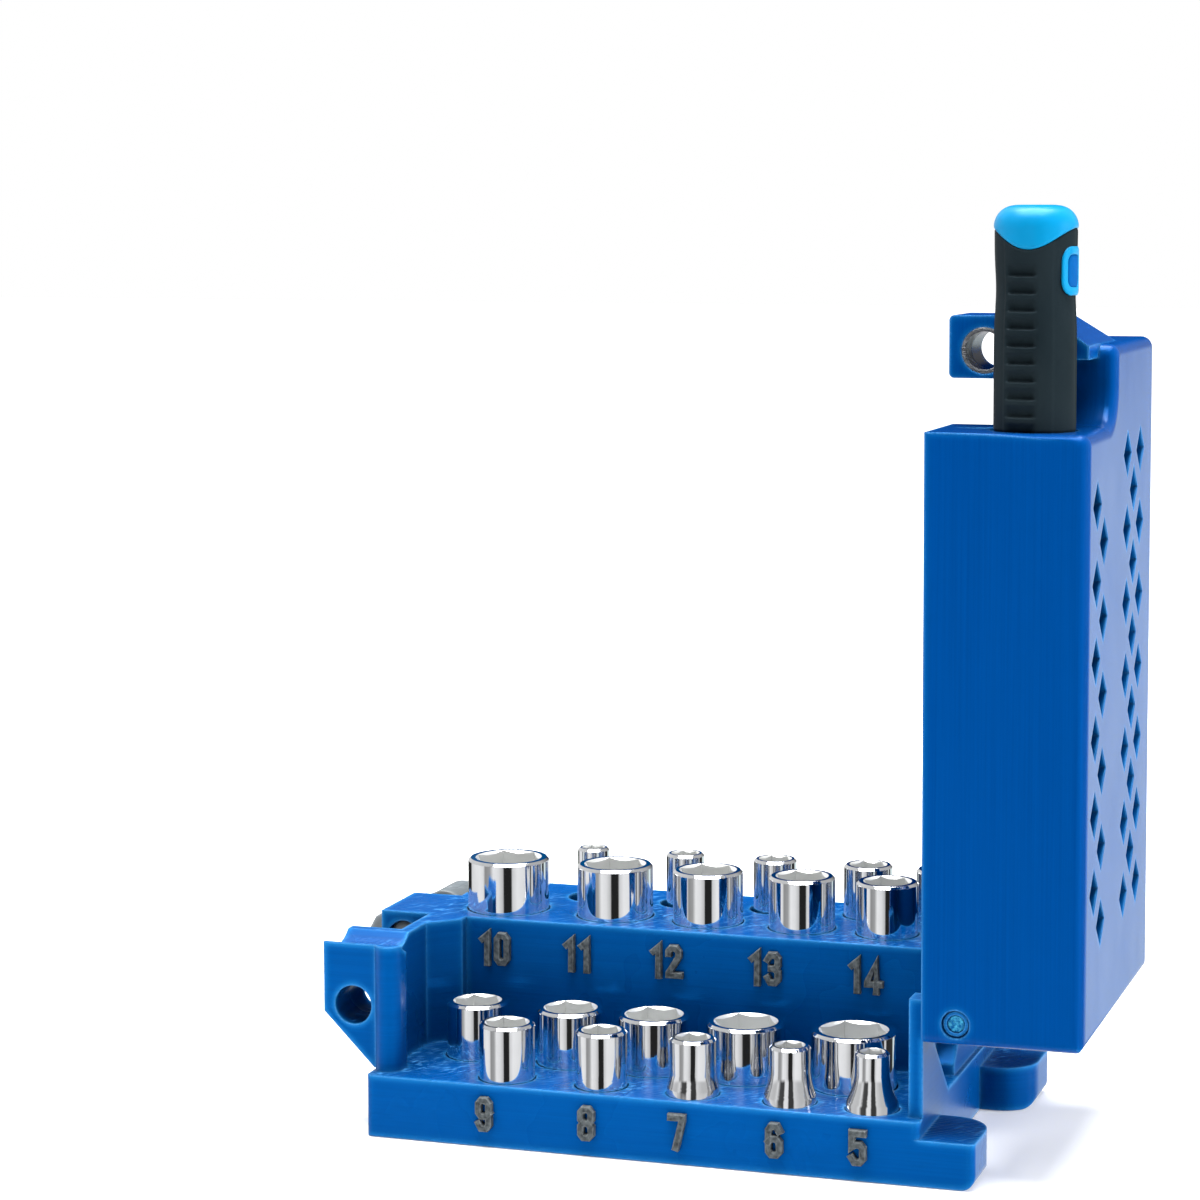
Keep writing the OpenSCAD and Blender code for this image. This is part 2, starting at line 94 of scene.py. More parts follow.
def add_camera():
    turn, tilt = math.radians(TURN), math.radians(TILT)
    look = Vector((-math.sin(turn) * math.cos(tilt), math.cos(turn) * math.cos(tilt), -math.sin(tilt)))
    right = Vector((math.cos(turn), math.sin(turn), 0))
    up = right.cross(look)
    data = bpy.data.cameras.new("camera")
    data.sensor_width = SENSOR_MM
    data.lens = FOCAL / FRAME_PX * SENSOR_MM
    data.shift_x = (FRAME_PX / 2 - CENTRE_PX[0]) / FRAME_PX
    data.shift_y = (CENTRE_PX[1] - FRAME_PX / 2) / FRAME_PX
    data.clip_start = CLIP_START
    camera = bpy.data.objects.new("camera", data)
    axes = Matrix((right, up, -look)).transposed().to_4x4()
    axes.translation = -(ORIGIN_AT[0] * right + ORIGIN_AT[1] * up + ORIGIN_AT[2] * look) * MM
    camera.matrix_world = axes
    bpy.context.collection.objects.link(camera)
    bpy.context.scene.camera = camera


class Graph:
    """A node tree and a few short ways to wire it."""

    def __init__(self, tree):
        self.nodes = tree.nodes
        self.links = tree.links

    def add(self, kind, **settings):
        node = self.nodes.new("ShaderNode" + kind)
        for setting, value in settings.items():
            setattr(node, setting, value)
        return node

    def fill(self, socket, value):
        """Feeds a socket from another node's output, or sets its number, vector or colour."""
        if isinstance(value, bpy.types.NodeSocket):
            self.links.new(value, socket)
        elif socket.type == "RGBA":
            socket.default_value = (*value, 1)
        else:
            socket.default_value = value

    def math(self, kind, a, b=0.0):
        node = self.add("Math", operation=kind)
        self.fill(node.inputs[0], a)
        self.fill(node.inputs[1], b)
        return node.outputs[0]

    def times(self, *factors):
        product = factors[0]
        for factor in factors[1:]:
            product = self.math("MULTIPLY", product, factor)
        return product

    def but(self, share):
        """What a share leaves of 1."""
        return self.math("SUBTRACT", 1.0, share)

    def vector(self, kind, a, b=(0, 0, 0)):
        node = self.add("VectorMath", operation=kind)
        self.fill(node.inputs[0], a)
        self.fill(node.inputs[1], b)
        return node.outputs["Value" if kind in ("DOT_PRODUCT", "LENGTH") else "Vector"]

    def coordinate(self, vector, axis):
        """One coordinate of a vector, by its number from 0 to 2."""
        node = self.add("SeparateXYZ")
        self.fill(node.inputs[0], vector)
        return node.outputs[axis]

    def spread(self, value, lo, hi, to_lo=0.0, to_hi=1.0, **settings):
        """Maps the stretch from lo to hi onto the one from to_lo to to_hi, and no further."""
        node = self.add("MapRange", **settings)
        self.fill(node.inputs["Value"], value)
        for socket, number in zip(("From Min", "From Max", "To Min", "To Max"), (lo, hi, to_lo, to_hi)):
            node.inputs[socket].default_value = number
        return node.outputs["Result"]

    def mix(self, share, a, b):
        """The colour a where the share is 0, and b where it is 1."""
        node = self.add("Mix", data_type="RGBA")
        self.fill(node.inputs["Factor"], share)
        for socket, value in zip((s for s in node.inputs if s.type == "RGBA"), (a, b)):
            self.fill(socket, value)
        return [s for s in node.outputs if s.type == "RGBA"][0]


class Tree(Graph):
    """A material with a Principled shader, whose patterns lie in the piece's own coordinates."""

    def __init__(self, name, base, rough, metal=0.0, level=0.5, tint=(1, 1, 1)):
        self.mat = bpy.data.materials.new(name)
        self.mat.use_nodes = True
        super().__init__(self.mat.node_tree)
        self.shader = self.nodes["Principled BSDF"]
        self.feed("Base Color", base)
        self.feed("Roughness", rough)
        self.feed("Metallic", metal)
        self.feed("Specular IOR Level", level)
        self.feed("Specular Tint", tint)
        coord = self.add("TexCoord")
        self.place = coord.outputs["Object"]
        self.facing = coord.outputs["Normal"]

    def feed(self, socket, value):
        self.fill(self.shader.inputs[socket], value)

    def noise(self, cells, detail=2.0, rough=0.5, turn=0.0):
        """Noise with about so many cells a metre along each axis, after a turn about Z in degrees."""
        source = self.place
        for socket, value in (("Rotation", (0, 0, math.radians(turn))), ("Scale", cells)):
            node = self.add("Mapping")
            node.inputs[socket].default_value = value
            self.fill(node.inputs["Vector"], source)
            source = node.outputs[0]
        node = self.add("TexNoise")
        for socket, value in (("Scale", 1), ("Detail", detail), ("Roughness", rough), ("Vector", source)):
            self.fill(node.inputs[socket], value)
        return node.outputs["Fac"]

    def bump(self, height, depth, strength=1.0, normal=None):
        node = self.add("Bump")
        for socket, value in (("Distance", depth), ("Strength", strength), ("Height", height)):
            self.fill(node.inputs[socket], value)
        if normal is not None:
            self.fill(node.inputs["Normal"], normal)
        return node.outputs["Normal"]

    def soft_normal(self, radius):
        """The surface's direction, rounded over along the edges."""
        node = self.add("Bevel", samples=6)
        node.inputs["Radius"].default_value = radius
        return node.outputs["Normal"]

    def edges(self, soft):
        """1 along the edges, where the soft normal leaves the true one."""
        plain = self.add("NewGeometry").outputs["Normal"]
        return self.spread(self.vector("DOT_PRODUCT", soft, plain), 0.995, 0.8)

    def hollows(self, reach, open_at):
        """1 deep in the piece's own inner corners and recesses, 0 on its open surfaces."""
        node = self.add("AmbientOcclusion", only_local=True, samples=8)
        node.inputs["Distance"].default_value = reach
        return self.spread(node.outputs["AO"], 0.4, open_at, 1.0, 0.0)

    def flat_tops(self, up):
        """1 on faces that look along the axis it was printed on, 0 on its sides."""
        return self.spread(self.math("ABSOLUTE", self.coordinate(self.facing, up)), 0.85, 0.97)

    def contours(self, up, layer):
        """1 on the layers' steps where the surface leans over, as on a rounded edge."""
        step = self.math("FRACT", self.math("DIVIDE", self.coordinate(self.place, up), layer))
        lean = self.math("ABSOLUTE", self.coordinate(self.facing, up))
        leans = self.times(self.spread(lean, 0.6, 0.7), self.spread(lean, 0.985, 0.999, 1.0, 0.0))
        return self.times(self.spread(step, 0.0, 0.28, 1.0, 0.0), leans)


# Printed surfaces: the axes that they are printed along, height of a layer, how many times deeper
# the fill lines are, how far from an edge its rubbed, painted-highlight edge and its broader painted
# highlight reach, and how far off walls a recess still gets painted shade and an inner corner is marked
ALONG_X, ALONG_Z = 0, 2
LAYER = 0.0002
FILL_DEEPER = 16.0
WEAR_AND_SHEEN_REACH = 0.0009
GLOW_REACH = 0.003
SHADE_REACH = 0.045
CORNER_REACH = 0.003


def printed(name, base, dark, sheen_and_wear, rough, level, tint, layer_depth=0.00005, glow_share=0.45,
            wear_and_sheen_share=0.75, up=ALONG_Z, hatch_share=0.6):
    """Printed plastic: layers, slanted fill lines on the flat tops, edges lightened where rubbed and by
    painted highlight, and painted shade in hollows and layer steps.
    """

    def across_layers(fast, slow):
        return tuple(fast if axis == up else slow for axis in range(3))

    t = Tree(name, base, rough, level=level, tint=tint)
    # bright serves the rubbed edges, partly painted highlight, and the fill lines; deep is painted shade for
    # recesses and layer steps
    bright, deep = shaded(sheen_and_wear, 1.1, 0.07), shaded(dark, 0.3)
    layers = t.noise(across_layers(1900, 18), 2.5, 0.6)
    fine = t.noise(across_layers(5200, 40), 1.0)
    fill = t.noise((1700, 90, 60), 2.0, 0.6, turn=45)
    patches = t.noise((42, 42, 30), 3.0, 0.55)
    strokes = t.noise((1250, 330, 60), 2.0, 0.6, turn=40)
    where = t.noise((75, 75, 75), 2.0, turn=20)
    tops = t.flat_tops(up)
    hatch = t.times(t.spread(strokes, 0.54, 0.66), t.spread(where, 0.42, 0.62))
    soft = t.soft_normal(WEAR_AND_SHEEN_REACH)
    convex = t.but(t.hollows(CORNER_REACH, 0.9))
    edge = t.times(t.edges(soft), convex)
    # Painted highlight: a broad lighter band along the outer edges, kept out of inner corners
    glow = t.times(t.edges(t.soft_normal(GLOW_REACH)), convex)
    # Share of the narrow lighter edge, in patches: partly rubbed, partly painted highlight
    wear_and_sheen = t.spread(fine, 0.35, 0.65, 0.3 * wear_and_sheen_share, wear_and_sheen_share)

    body = t.mix(t.times(t.spread(layers, 0.3, 0.7), 0.55), dark, base)
    body = t.mix(t.spread(patches, 0.0, 1.0, 0.5, 0.0), body, dark)
    # Painted shade in the piece's own recesses
    body = t.mix(t.times(t.hollows(SHADE_REACH, 0.95), 0.6), body, deep)
    # Painted highlight along the outer edges
    body = t.mix(t.times(glow, glow_share), body, sheen_and_wear)
    # Narrow lighter edges: partly rubbed, partly painted highlight
    body = t.mix(t.times(edge, wear_and_sheen), body, bright)
    body = t.mix(t.times(hatch, tops, hatch_share), body, bright)
    # Painted shade in the layers' steps where the surface leans over
    body = t.mix(t.times(t.contours(up, LAYER), 0.5), body, deep)
    side_height = t.times(t.math("ADD", layers, t.times(fine, 0.35)), t.but(tops))
    height = t.math("ADD", side_height, t.times(fill, FILL_DEEPER * hatch_share, tops))
    t.feed("Base Color", body)
    t.feed("Roughness", t.spread(patches, 0.0, 1.0, rough - 0.06, rough + 0.1))
    t.feed("Normal", t.bump(height, layer_depth, 0.8, soft))
    return t.mat


CHROME_TONE = (0.8, 0.81, 0.83)
BORE_TONE = (0.74, 0.75, 0.74)


def chrome(name, axis, rough=0.03):
    """Mirror finish outside; the walls that face the piece's own upright axis are duller."""
    t = Tree(name, CHROME_TONE, rough, metal=1.0)
    haze = t.noise((260, 260, 120), 3.0, 0.6)
    turned = t.noise((60, 60, 3400), 2.0)
    level_arm = t.vector("MULTIPLY", t.vector("SUBTRACT", t.place, (*axis, 0)), (1, 1, 0))
    inside = t.spread(t.vector("DOT_PRODUCT", level_arm, t.facing), -0.0006, -0.0012)
    tone = t.mix(t.spread(haze, 0.35, 0.75, 0.0, 0.5), CHROME_TONE, shaded(CHROME_TONE, 0.86))
    t.feed("Base Color", t.mix(inside, tone, BORE_TONE))
    t.feed("Roughness", t.math("ADD", t.spread(haze, 0.3, 0.75, rough, rough + 0.06), t.times(inside, 0.16)))
    t.feed("Metallic", t.spread(inside, 0.0, 1.0, 1.0, 0.6))
    t.feed("Normal", t.bump(turned, 0.0000012, 0.6, t.soft_normal(0.00022)))
    return t.mat


def steel(name, base, rough, torn=0.000006):
    """Turned steel, cloudy in its shine, whose marks are as deep as torn says."""
    t = Tree(name, base, rough, metal=1.0)
    haze = t.noise((420, 420, 420), 3.0)
    turned = t.noise((500, 500, 9000), 2.0)
    t.feed("Base Color", t.mix(t.times(haze, 0.7), base, shaded(base, 0.6)))
    t.feed("Roughness", t.spread(haze, 0.3, 0.7, rough - 0.08, rough + 0.12))
    t.feed("Normal", t.bump(turned, torn, 0.7, t.soft_normal(0.0003)))
    return t.mat


def rubber(name, base, dust_and_sheen):
    """Matt grip with a fine grain, smears of dust, and edges lightened by dust and painted highlight."""
    t = Tree(name, base, 0.55, level=0.12, tint=(0.6, 0.85, 1.0))
    grain = t.noise((5200, 5200, 5200), 2.0, 0.7)
    smear = t.noise((70, 70, 45), 3.0)
    soft = t.soft_normal(0.0003)
    body = t.mix(t.spread(smear, 0.35, 0.75, 0.0, 0.4), base, dust_and_sheen)
    # Lighter edges: dust, and painted highlight
    t.feed("Base Color", t.mix(t.times(t.edges(soft), 0.7), body, shaded(dust_and_sheen, 3.2)))
    t.feed("Roughness", t.spread(smear, 0.3, 0.7, 0.42, 0.62))
    t.feed("Normal", t.bump(grain, 0.00003, 0.35, soft))
    return t.mat


def moulded(name, base, dark, rough, level=0.4):
    """Moulded plastic with flow marks, a faint orange peel and edges lightened as a painted highlight."""
    t = Tree(name, base, rough, level=level, tint=(0.25, 0.6, 1.0))
    flow = t.noise((90, 90, 60), 3.0)
    peel = t.noise((1800, 1800, 1800), 1.0)
    soft = t.soft_normal(0.0004)
    body = t.mix(t.spread(flow, 0.3, 0.75, 0.0, 0.35), base, dark)
    # Edges lightened: painted highlight
    t.feed("Base Color", t.mix(t.times(t.edges(soft), 0.3), body, shaded(base, 1.25, 0.04)))
    t.feed("Roughness", t.spread(flow, 0.3, 0.7, rough, rough + 0.12))
    t.feed("Normal", t.bump(peel, 0.00001, 0.4, soft))
    return t.mat


def speckled_figures():
    """Rough grey of the raised numbers, with edges lightened as a painted highlight."""
    t = Tree("figure_print", (0.1, 0.115, 0.12), 0.5, level=0.4)
    grit = t.noise((2400, 2400, 2400), 3.0, 0.7)
    spots = t.noise((900, 900, 900), 2.0)
    soft = t.soft_normal(0.0003)
    body = t.mix(t.spread(spots, 0.35, 0.65), (0.02, 0.026, 0.03), (0.09, 0.105, 0.11))
    # Edges lightened: painted highlight
    t.feed("Base Color", t.mix(t.times(t.edges(soft), 0.45), body, (0.38, 0.41, 0.41)))
    t.feed("Roughness", t.spread(spots, 0.3, 0.7, 0.38, 0.62))
    t.feed("Normal", t.bump(grit, 0.00022, 0.8, soft))
    return t.mat


def sparkling_end():
    """Torn, glossy face of a printed pin's end."""
    t = Tree("pin_end_print", (0.02, 0.2, 0.52), 0.16, tint=(0.3, 0.8, 1.0))
    grit = t.noise((1100, 1100, 1100), 3.0, 0.7)
    t.feed("Base Color", t.mix(t.spread(grit, 0.4, 0.66), (0.0, 0.08, 0.27), (0.06, 0.4, 0.62)))
    t.feed("Normal", t.bump(grit, 0.0006))
    return t.mat


BLUE_TINT = (0.0, 0.3, 1.0)
# Each print's third colour lights its edges: partly rubbed, partly painted highlight
BLUE = printed("blue_print", base=(0.0, 0.075, 0.295), dark=(0.0, 0.054, 0.225), sheen_and_wear=(0.02, 0.27, 0.64),
               rough=0.26, level=0.4, tint=BLUE_TINT)
CASE_BLUE = printed("case_print", base=(0.0, 0.054, 0.245), dark=(0.0, 0.038, 0.18), sheen_and_wear=(0.01, 0.25, 0.6),
                    rough=0.2, level=0.42, tint=BLUE_TINT, layer_depth=0.00003, glow_share=0.22,
                    wear_and_sheen_share=0.8, up=ALONG_X, hatch_share=0)
# Darker copy of the case's blue for the diamond holes' walls: painted shade
HOLE_SHADE_BLUE = printed("hole_shade_print", base=(0.0, 0.025, 0.12), dark=(0.0, 0.015, 0.08), sheen_and_wear=(0.0, 0.12, 0.34),
                    rough=0.35, level=0.2, tint=BLUE_TINT, layer_depth=0.00003, glow_share=0,
                    wear_and_sheen_share=0, up=ALONG_X, hatch_share=0)
GREY = printed("grey_print", base=(0.15, 0.17, 0.18), dark=(0.105, 0.122, 0.13), sheen_and_wear=(0.3, 0.33, 0.34),
               rough=0.42, level=0.35, tint=(1, 1, 1))
STEEL = steel("turned_steel", (0.3, 0.3, 0.32), 0.24)
RUBBER = rubber("grip_rubber_dark", (0.005, 0.0095, 0.0125), (0.016, 0.024, 0.028))
CYAN = moulded("cap_plastic", (0.0, 0.2, 0.41), (0.0, 0.14, 0.3), 0.25)
INSET = moulded("ring_inset_plastic", (0.0, 0.07, 0.25), (0.0, 0.05, 0.19), 0.6, level=0.08)
# Dark steel for the striker bush: its darkness is painted shade of the bore
SHADE_DARK_BUSH = steel("rough_bush_metal_shade_dark", (0.16, 0.165, 0.17), 0.3, torn=0.0003)
FIGURE = speckled_figures()
PIN_END = sparkling_end()

# Materials of the CAD nodes; the sockets get their own chrome, and the rest is blue
NODE_LOOKS = {
    "latch_lever": GREY,
    "lock_bolt": GREY,
    "striker_bush": SHADE_DARK_BUSH,
    "latch_screw": STEEL,
    "handle_shaft": STEEL,
    "detent_ball": STEEL,
    "handle_grip": RUBBER,
    "handle_core": CYAN,
}


def dress_nodes():
    """Gives every CAD node its material through its own slots."""
    for name, node in NODES.items():
        if "socket" in name:
            lo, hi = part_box(name)
            mat = chrome("chrome_" + name, ((lo.x + hi.x) / 2, (lo.y + hi.y) / 2))
        else:
            mat = NODE_LOOKS.get(name, BLUE)
        if not node.material_slots:
            node.data.materials.append(mat)
        for slot in node.material_slots:
            slot.material = mat


def shade(mesh, smooth=True):
    for face in mesh.polygons:
        face.use_smooth = smooth


def mesh_piece(name, verts, faces, mat, body, smooth=True):
    mesh = bpy.data.meshes.new(name)
    mesh.from_pydata([Vector(v) for v in verts], [], faces)
    mesh.validate()
    work = bmesh.new()
    work.from_mesh(mesh)
    bmesh.ops.recalc_face_normals(work, faces=work.faces)
    work.to_mesh(mesh)
    work.free()
    mesh.materials.append(mat)
    shade(mesh, smooth)
    piece = bpy.data.objects.new(name, mesh)
    bpy.context.collection.objects.link(piece)
    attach(piece, body)
    return piece


def clean_up(piece, close=0.000004):
    """Merges corners that are that close, and drops the zero-size faces that a clipped row leaves."""
    work = bmesh.new()
    work.from_mesh(piece.data)
    bmesh.ops.remove_doubles(work, verts=work.verts, dist=close)
    bmesh.ops.dissolve_degenerate(work, edges=work.edges, dist=close)
    bmesh.ops.recalc_face_normals(work, faces=work.faces)
    work.to_mesh(piece.data)
    work.free()
    shade(piece.data)


def join_rows(faces, low, high, count):
    """Quads between two closed rows of points, which start at the numbers low and high."""
    for k in range(count):
        m = (k + 1) % count
        faces.append((low + k, low + m, high + m, high + k))


def close_row(faces, row, centre, count):
    """Triangles between a closed row of points and one point."""
    for k in range(count):
        faces.append((row + k, row + (k + 1) % count, centre))


# Size numbers, drawn as condensed strokes in a cell 4 wide and 8 high
CELL_W, CELL_H = 4, 8
STROKES = {
    "0": [[(0.75, 1.6), (0.75, 6.4), (1.4, 7.25), (2.6, 7.25), (3.25, 6.4), (3.25, 1.6), (2.6, 0.75),
           (1.4, 0.75), (0.75, 1.6)]],
    "1": [[(0.9, 6.2), (2.1, 7.25), (2.1, 0.4)]],
    "2": [[(0.75, 5.9), (0.75, 6.5), (1.4, 7.25), (2.6, 7.25), (3.25, 6.4), (3.25, 5.2), (0.8, 1.2),
           (0.8, 0.75), (3.5, 0.75)]],
    "3": [[(0.75, 6.2), (1.4, 7.25), (2.6, 7.25), (3.25, 6.5), (3.25, 4.9), (2.5, 4.1), (1.6, 4.1)],
          [(2.5, 4.1), (3.25, 3.3), (3.25, 1.5), (2.6, 0.75), (1.4, 0.75), (0.75, 1.8)]],
    "4": [[(2.8, 0.4), (2.8, 7.25), (0.7, 2.6), (0.7, 2.1), (3.7, 2.1)]],
    "5": [[(3.3, 7.25), (0.8, 7.25), (0.8, 4.2), (1.5, 4.7), (2.6, 4.7), (3.25, 4.0), (3.25, 1.5),
           (2.6, 0.75), (1.4, 0.75), (0.75, 1.7)]],
    "6": [[(3.2, 6.2), (2.6, 7.25), (1.4, 7.25), (0.75, 6.4), (0.75, 1.5), (1.4, 0.75), (2.6, 0.75),
           (3.25, 1.5), (3.25, 3.6), (2.6, 4.4), (1.4, 4.4), (0.75, 3.7)]],
    "7": [[(0.6, 7.25), (3.3, 7.25), (3.3, 6.6), (1.8, 0.4)]],
    "8": [[(1.4, 4.1), (0.75, 4.9), (0.75, 6.5), (1.4, 7.25), (2.6, 7.25), (3.25, 6.5), (3.25, 4.9),
           (2.6, 4.1), (1.4, 4.1), (0.75, 3.3), (0.75, 1.5), (1.4, 0.75), (2.6, 0.75), (3.25, 1.5),
           (3.25, 3.3), (2.6, 4.1)]],
    "9": [[(0.8, 1.8), (1.4, 0.75), (2.6, 0.75), (3.25, 1.6), (3.25, 6.5), (2.6, 7.25), (1.4, 7.25),
           (0.75, 6.5), (0.75, 4.4), (1.4, 3.6), (2.6, 3.6), (3.25, 4.3)]],
}

# In the cell's units: step from digit to digit, how much narrower a leading 1 is, a stroke's width
# and the bevel on its top; and the least cosine that a mitre is worked out with
DIGIT_STEP = 3.9
ONE_THINNER = 0.6
STROKE_W = 1.62
STROKE_BEVEL = 0.22
LEAST_MITRE = 0.45

# The figures in metres: height, how far they stand out and how deep they are set in
FIGURE_H = 0.008
FIGURE_OUT = 0.0014
FIGURE_IN = 0.0003

# Half width of a stroke in the cell's units and its height over the face, from foot to top
WALL_SHARE = 0.78
FIGURE_LEVELS = (
    (STROKE_W / 2, -FIGURE_IN),
    (STROKE_W / 2, FIGURE_OUT * WALL_SHARE),
    (STROKE_W / 2 - STROKE_BEVEL, FIGURE_OUT),
)

# Roughness of the figures: cells of the noise, how it changes with the height and from digit to
# digit, how far it moves a point in the cell, and how far that lifts the point in metres
ROUGH_CELLS = 2.1
ROUGH_BY_LIFT = 3000
ROUGH_BY_DIGIT = 7
ROUGH_MOVE = 0.06
ROUGH_LIFT = 0.0012

# Rows of numbers on the tray: the middle of each in mm along X, the face's Y, the middle's height
# in metres, and whether the row is read from the back
FIGURE_ROWS = {
    "front": ({9: -36.4, 8: -11.5, 7: 10.2, 6: 33.0, 5: 52.2}, TRAY_LO.y, 0.0078, False),
    "riser": ({10: -48.3, 11: -26.7, 12: -4.7, 13: 19.8, 14: 44.1}, -0.003, 0.0368, False),
    "back": ({5: -34.2, 6: -10.2, 7: 12.9, 8: 36.4, 9: 54.6}, TRAY_HI.y, 0.0072, True),
    "strip": ({14: -50.3, 13: -22.6, 12: 1.0, 11: 24.5, 10: 45.5}, 0.0387, 0.0384, True),
}


def stroke_outline(path, half, grow):
    """Left and right sides of a stroke, mitred at its corners and grown past its open ends."""
    sides = []
    closed = path[0] == path[-1]
    last = len(path) - 1
    for i, point in enumerate(path):
        here = Vector(point)
        before = Vector(path[i - 1]) if i else (Vector(path[-2]) if closed else None)
        after = Vector(path[i + 1]) if i < last else (Vector(path[1]) if closed else None)
        into = (here - before).normalized() if before is not None else (after - here).normalized()
        out = (after - here).normalized() if after is not None else into
        mid = (into + out).normalized()
        side = Vector((-mid.y, mid.x))
        reach = half / max(LEAST_MITRE, side.dot(Vector((-into.y, into.x))))
        end = Vector((0, 0))
        if not closed and i in (0, last):
            end = into * (grow if i else -grow)
        sides.append((here + end + side * reach, here + end - side * reach))
    return sides


def stroke_faces(start, count, closed):
    """Faces of one stroke: its top, foot and sides, and its ends where it is open."""

    def at(level, i, side):
        return start + 2 * (level * count + i) + side

    faces = []
    top = len(FIGURE_LEVELS) - 1
    for i in range(count - 1):
        faces.append((at(top, i, 0), at(top, i + 1, 0), at(top, i + 1, 1), at(top, i, 1)))
        faces.append((at(0, i, 1), at(0, i + 1, 1), at(0, i + 1, 0), at(0, i, 0)))
        for level in range(top):
            for side in (0, 1):
                low, high = at(level, i, side), at(level + 1, i, side)
                next_low, next_high = at(level, i + 1, side), at(level + 1, i + 1, side)
                quad = (low, next_low, next_high, high)
                faces.append(quad if side else quad[::-1])
    if not closed:
        for i in (0, count - 1):
            for level in range(top):
                quad = (at(level, i, 0), at(level, i, 1), at(level + 1, i, 1), at(level + 1, i, 0))
                faces.append(quad if i else quad[::-1])
    return faces


def add_figure(text, name, centre, along, up, body):
    """A raised number on a flat face: along and up are unit vectors on the face."""
    scale = FIGURE_H / CELL_H
    normal = along.cross(up)
    thinner = ONE_THINNER if text[0] == "1" else 0
    width = (len(text) - 1) * DIGIT_STEP + CELL_W - thinner
    verts, faces = [], []
    for place, digit in enumerate(text):
        shift = place * DIGIT_STEP - width / 2 - thinner
        for path in STROKES[digit]:
            closed = path[0] == path[-1]
            start = len(verts)
            for half, lift in FIGURE_LEVELS:
                seed = lift * ROUGH_BY_LIFT + place * ROUGH_BY_DIGIT
                for pair in stroke_outline(path, half, 0 if closed else half):
                    for p in pair:
                        rough = noise.noise(Vector((p.x * ROUGH_CELLS, p.y * ROUGH_CELLS, seed))) * ROUGH_MOVE
                        out = lift + (abs(rough) * ROUGH_LIFT if lift > 0 else 0)
                        right, high = p.x + shift + rough, p.y - CELL_H / 2 + rough
                        verts.append(centre + along * right * scale + up * high * scale + normal * out)
            faces += stroke_faces(start, len(path), closed)
    return mesh_piece(name, verts, faces, FIGURE, body, smooth=False)


def add_figures():
    x_axis, z_axis = Vector((1, 0, 0)), Vector((0, 0, 1))
    for row, (places, y, height, from_back) in FIGURE_ROWS.items():
        along = -x_axis if from_back else x_axis
        for size, x in places.items():
            add_figure(str(size), f"number_{row}_{size}", Vector((x * MM, y, height)), along, z_axis, "tray")


# Copies of CAD nodes: how close corners are merged before and after a change, and the length
# under which an edge is dropped
WELD_BEFORE = 0.000002
WELD_AFTER = 0.00002
SHORTEST = 0.00001


def copy_of(name, as_name):
    """A welded bmesh copy of a CAD node, and a function that turns it into a piece."""
    mesh = NODES[name].data.copy()
    mesh.name = as_name
    if "custom_normal" in mesh.attributes:
        mesh.attributes.remove(mesh.attributes["custom_normal"])
    work = bmesh.new()
    work.from_mesh(mesh)
    bmesh.ops.remove_doubles(work, verts=work.verts, dist=WELD_BEFORE)

    def finish(body, slot, sharp):
        bmesh.ops.remove_doubles(work, verts=work.verts, dist=WELD_AFTER)
        bmesh.ops.dissolve_degenerate(work, edges=work.edges, dist=SHORTEST)
        work.to_mesh(mesh)
        work.free()
        shade(mesh)
        piece = bpy.data.objects.new(as_name, mesh)
        bpy.context.collection.objects.link(piece)
        mesh.set_sharp_from_angle(angle=math.radians(sharp))
        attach(piece, body)
        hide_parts(name)
        return piece

    return work, finish


# Small sockets: shares of the height where the flare ends below, and above by size, where the top's
# bevel begins, and their slack; steps and power of the curve, height of the band that gives the
# neck's radius, how far inside that radius the outer wall may lie, and the degrees of a sharp edge
FLARE_LOW_SHARE = 0.54
FLARE_TOP_SHARES = {5: 0.80, 6: 0.77, 7: 0.68, 8: 0.63}
BEVEL_SHARE = 0.955
SLACK_SHARE = 0.001
FLARE_STEPS = 14
FLARE_POWER = 1.75
NECK_BAND = 0.0008
WALL_SLACK = 0.00012
SOCKET_SHARP = 28


def add_flared(size):
    """A short socket of a small size, whose drive end runs into the barrel in a hollow curve."""
    name = f"socket_{size}"
    lo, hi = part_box(name)
    x, y, long = (lo.x + hi.x) / 2, (lo.y + hi.y) / 2, hi.z - lo.z
    foot = (hi.x - lo.x) / 2
    work, finish = copy_of(name, f"flared_socket_{size}")
    neck = max(math.hypot(v.co.x - x, v.co.y - y) for v in work.verts if v.co.z > hi.z - NECK_BAND)
    low, top = FLARE_LOW_SHARE, FLARE_TOP_SHARES[size]
    for i in range(1, FLARE_STEPS + 1):
        height = lo.z + long * (low + (top - low) * i / FLARE_STEPS)
        geometry = list(work.verts) + list(work.edges) + list(work.faces)
        bmesh.ops.bisect_plane(work, geom=geometry, plane_co=(0, 0, height), plane_no=(0, 0, 1))
    for vert in work.verts:
        dx, dy = vert.co.x - x, vert.co.y - y
        far, share = math.hypot(dx, dy), (vert.co.z - lo.z) / long
        if low - SLACK_SHARE < share < BEVEL_SHARE and far > neck - WALL_SLACK:
            part = clamp((share - low) / (top - low))
            r = neck + (foot - neck) * (1 - part) ** FLARE_POWER
            vert.co.x, vert.co.y = x + dx * r / far, y + dy * r / far
    finish(name, "socket_chrome", SOCKET_SHARP)


# The case: rounding of its edges and of its upper outline, and the steps of each; the least angle of
# an edge that is rounded, the distance within which two places count as the same, and a point as on a
# round corner, the angle under which faces are merged, and the degrees of a sharp edge
CASE_ROUND, ROUND_STEPS = 0.0009, 4
CASE_CROWN, CROWN_STEPS = 0.0026, 8
LEAST_ANGLE = math.radians(30)
SAME = 1e-5
SAME_ON_CORNER = 0.00006
FLAT_ANGLE = math.radians(0.6)
CASE_SHARP = 34


